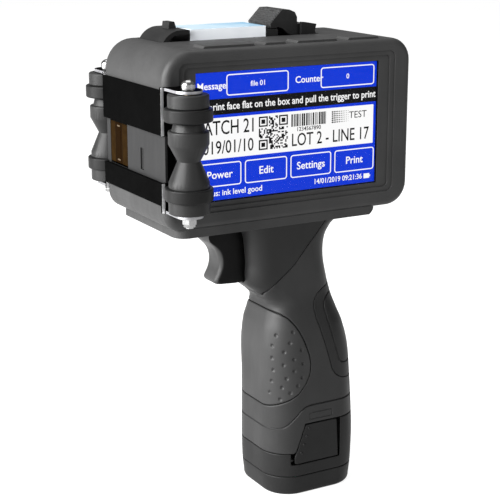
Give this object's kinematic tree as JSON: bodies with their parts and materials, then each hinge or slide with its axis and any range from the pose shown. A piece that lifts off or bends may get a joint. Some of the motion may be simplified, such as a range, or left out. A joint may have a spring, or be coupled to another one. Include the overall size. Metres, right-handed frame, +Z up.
{
  "type": "handheld date code inkjet printer",
  "caption": "Pistol-grip handheld inkjet coder with a touch display head, side guide rollers, an open print face, a top-loaded ink cartridge under a latch, and a slide-in battery.",
  "frame": {"origin": "centre of the battery's flat underside, which is the surface the printer stands on", "axes": "+Z up along the handle, -X out of the print face, -Y out of the display"},
  "size_m": [0.1534, 0.12, 0.2687],
  "materials": {
    "charcoal_abs": "fine spark-eroded texture",
    "black_abs": "matte moulded",
    "handle_abs": "fine moulded texture",
    "trigger_abs": "satin moulded",
    "battery_abs": "fine moulded texture",
    "grip_rubber": "soft matte overmould",
    "black_rubber": "satin",
    "roller_acetal": "turned satin",
    "display_glass": "clear",
    "lcd_blue": "lit panel",
    "circuit_board": "solder mask",
    "brass": "plated",
    "steel_hardware": "zinc plated",
    "port_steel": "nickel plated",
    "axle_chrome": "bright",
    "black_aluminium": "black anodised, bright cut edges",
    "grey_aluminium": "bead blasted",
    "dark_gloss": "gloss",
    "button_red": "gloss",
    "cartridge_black": "matte moulded",
    "label_white": "coated film",
    "copper_flex": "polyimide",
    "nozzle_gold": "plated",
    "cell_can": "shrink sleeve"
  },
  "bodies": {
    "printer": {"head_housing": "charcoal_abs", "back_cover": "charcoal_abs", "back_cover_screws": "steel_hardware", "display_glass": "display_glass", "display_gasket": "black_rubber", "lcd_panel": "lcd_blue", "board_standoffs": "brass", "main_board": "circuit_board", "io_board": "circuit_board", "power_switch": "black_abs", "usb_port": "port_steel", "charge_jack": "black_abs", "roller_bracket": "black_aluminium", "bracket_screws": "steel_hardware", "head_plate": "grey_aluminium", "sensor_window": "dark_gloss", "sensor_board": "circuit_board", "cartridge_stall": "black_abs", "latch_hinge_pin": "steel_hardware", "contact_board": "circuit_board", "contact_pins": "brass", "near_axle_screw": "axle_chrome", "near_axle_nut": "axle_chrome", "far_axle_screw": "axle_chrome", "far_axle_nut": "axle_chrome", "neck_shroud": "handle_abs", "neck_screws": "steel_hardware", "handle_near_shell": "handle_abs", "handle_far_shell": "handle_abs", "front_grip": "grip_rubber", "rear_grip": "grip_rubber", "handle_screws": "steel_hardware", "trigger_switch": "black_abs", "trigger_spring": "steel_hardware", "terminal_block": "black_abs"},
    "trigger": {"trigger": "trigger_abs"},
    "cartridge": {"ink_cartridge": "cartridge_black", "cartridge_label": "label_white", "nozzle_flex": "copper_flex", "nozzle_plate": "nozzle_gold"},
    "latch": {"latch_lever": "black_abs"},
    "near_roller": {"near_roller_spool": "roller_acetal", "near_roller_upper_tyre": "black_rubber", "near_roller_lower_tyre": "black_rubber", "near_roller_cap": "roller_acetal", "near_roller_bushes": "brass"},
    "far_roller": {"far_roller_spool": "roller_acetal", "far_roller_upper_tyre": "black_rubber", "far_roller_lower_tyre": "black_rubber", "far_roller_cap": "roller_acetal", "far_roller_bushes": "brass"},
    "power_button": {"power_button": "button_red"},
    "battery": {"battery_case": "battery_abs", "battery_base_cap": "battery_abs", "battery_cells": "cell_can", "battery_terminals": "brass", "release_tab_pins": "steel_hardware"},
    "near_tab": {"near_release_tab": "battery_abs"},
    "far_tab": {"far_release_tab": "battery_abs"}
  },
  "joints": [
    {"name": "trigger_pull", "type": "slide", "parent": "printer", "child": "trigger", "axis": [1, 0, 0], "range_m": [0, 0.006], "stiffness_N_per_m": 600, "springref_m": -0.004, "deforming": ["trigger_spring"]},
    {"name": "cartridge_tilt", "type": "hinge", "parent": "printer", "child": "cartridge", "pos_m": [-0.069, 0.02, 0.254], "axis": [0, -1, 0], "range_deg": [0, 8]},
    {"name": "latch_open", "type": "hinge", "parent": "printer", "child": "latch", "pos_m": [0.009, 0.02, 0.257], "axis": [0, 1, 0], "range_deg": [0, 100]},
    {"name": "near_roller_spin", "type": "hinge", "parent": "printer", "child": "near_roller", "pos_m": [-0.0919, -0.048, 0.207], "axis": [0, 0, 1], "continuous": true},
    {"name": "far_roller_spin", "type": "hinge", "parent": "printer", "child": "far_roller", "pos_m": [-0.0919, 0.048, 0.207], "axis": [0, 0, 1], "continuous": true},
    {"name": "power_press", "type": "slide", "parent": "printer", "child": "power_button", "axis": [-1, 0, 0], "range_m": [0, 0.0015], "stiffness_N_per_m": 500, "springref_m": -0.001},
    {"name": "battery_slide", "type": "slide", "parent": "printer", "child": "battery", "axis": [0, 0, -1], "range_m": [0, 0.065]},
    {"name": "near_tab_press", "type": "hinge", "parent": "battery", "child": "near_tab", "pos_m": [-0.0018, -0.0226, 0.0209], "axis": [-1, 0, 0], "range_deg": [0, 7], "stiffness_Nm_per_rad": 0.3, "springref_deg": -2.86},
    {"name": "far_tab_press", "type": "hinge", "parent": "battery", "child": "far_tab", "pos_m": [-0.0018, 0.0226, 0.0209], "axis": [1, 0, 0], "range_deg": [0, 7], "stiffness_Nm_per_rad": 0.3, "springref_deg": -2.86}
  ],
  "couplings": [
    {"joint": "latch_open", "follows": "cartridge_tilt", "ratio": 12.5}
  ]
}
